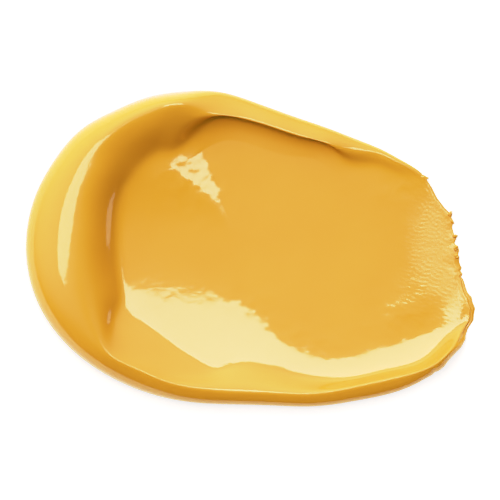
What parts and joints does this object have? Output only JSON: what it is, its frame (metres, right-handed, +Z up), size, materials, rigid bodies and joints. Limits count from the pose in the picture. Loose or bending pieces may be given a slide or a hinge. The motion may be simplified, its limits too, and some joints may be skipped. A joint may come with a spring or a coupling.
{
  "type": "paint smear",
  "caption": "Smear of thick glossy yellow paint spread by one knife stroke, with a rolled heel bank, a toppled upper fold, a rounded lower bead and a torn tail.",
  "frame": {"origin": "on the ground under the middle of the smear's box", "axes": "+X along the knife's stroke from the heel to the torn tail, +Y towards the folded upper side, +Z up from the ground"},
  "size_m": [0.06, 0.0422, 0.005],
  "materials": {
    "yellow_paint": "wet heavy-bodied acrylic paint, opaque warm yellow, high gloss"
  },
  "bodies": {
    "root": {"spread_bed": "yellow_paint", "heel_bank": "yellow_paint", "lower_bead": "yellow_paint", "tail_lip": "yellow_paint", "upper_fold": "yellow_paint", "tail_film": "yellow_paint", "torn_crumbs": "yellow_paint"}
  },
  "joints": []
}
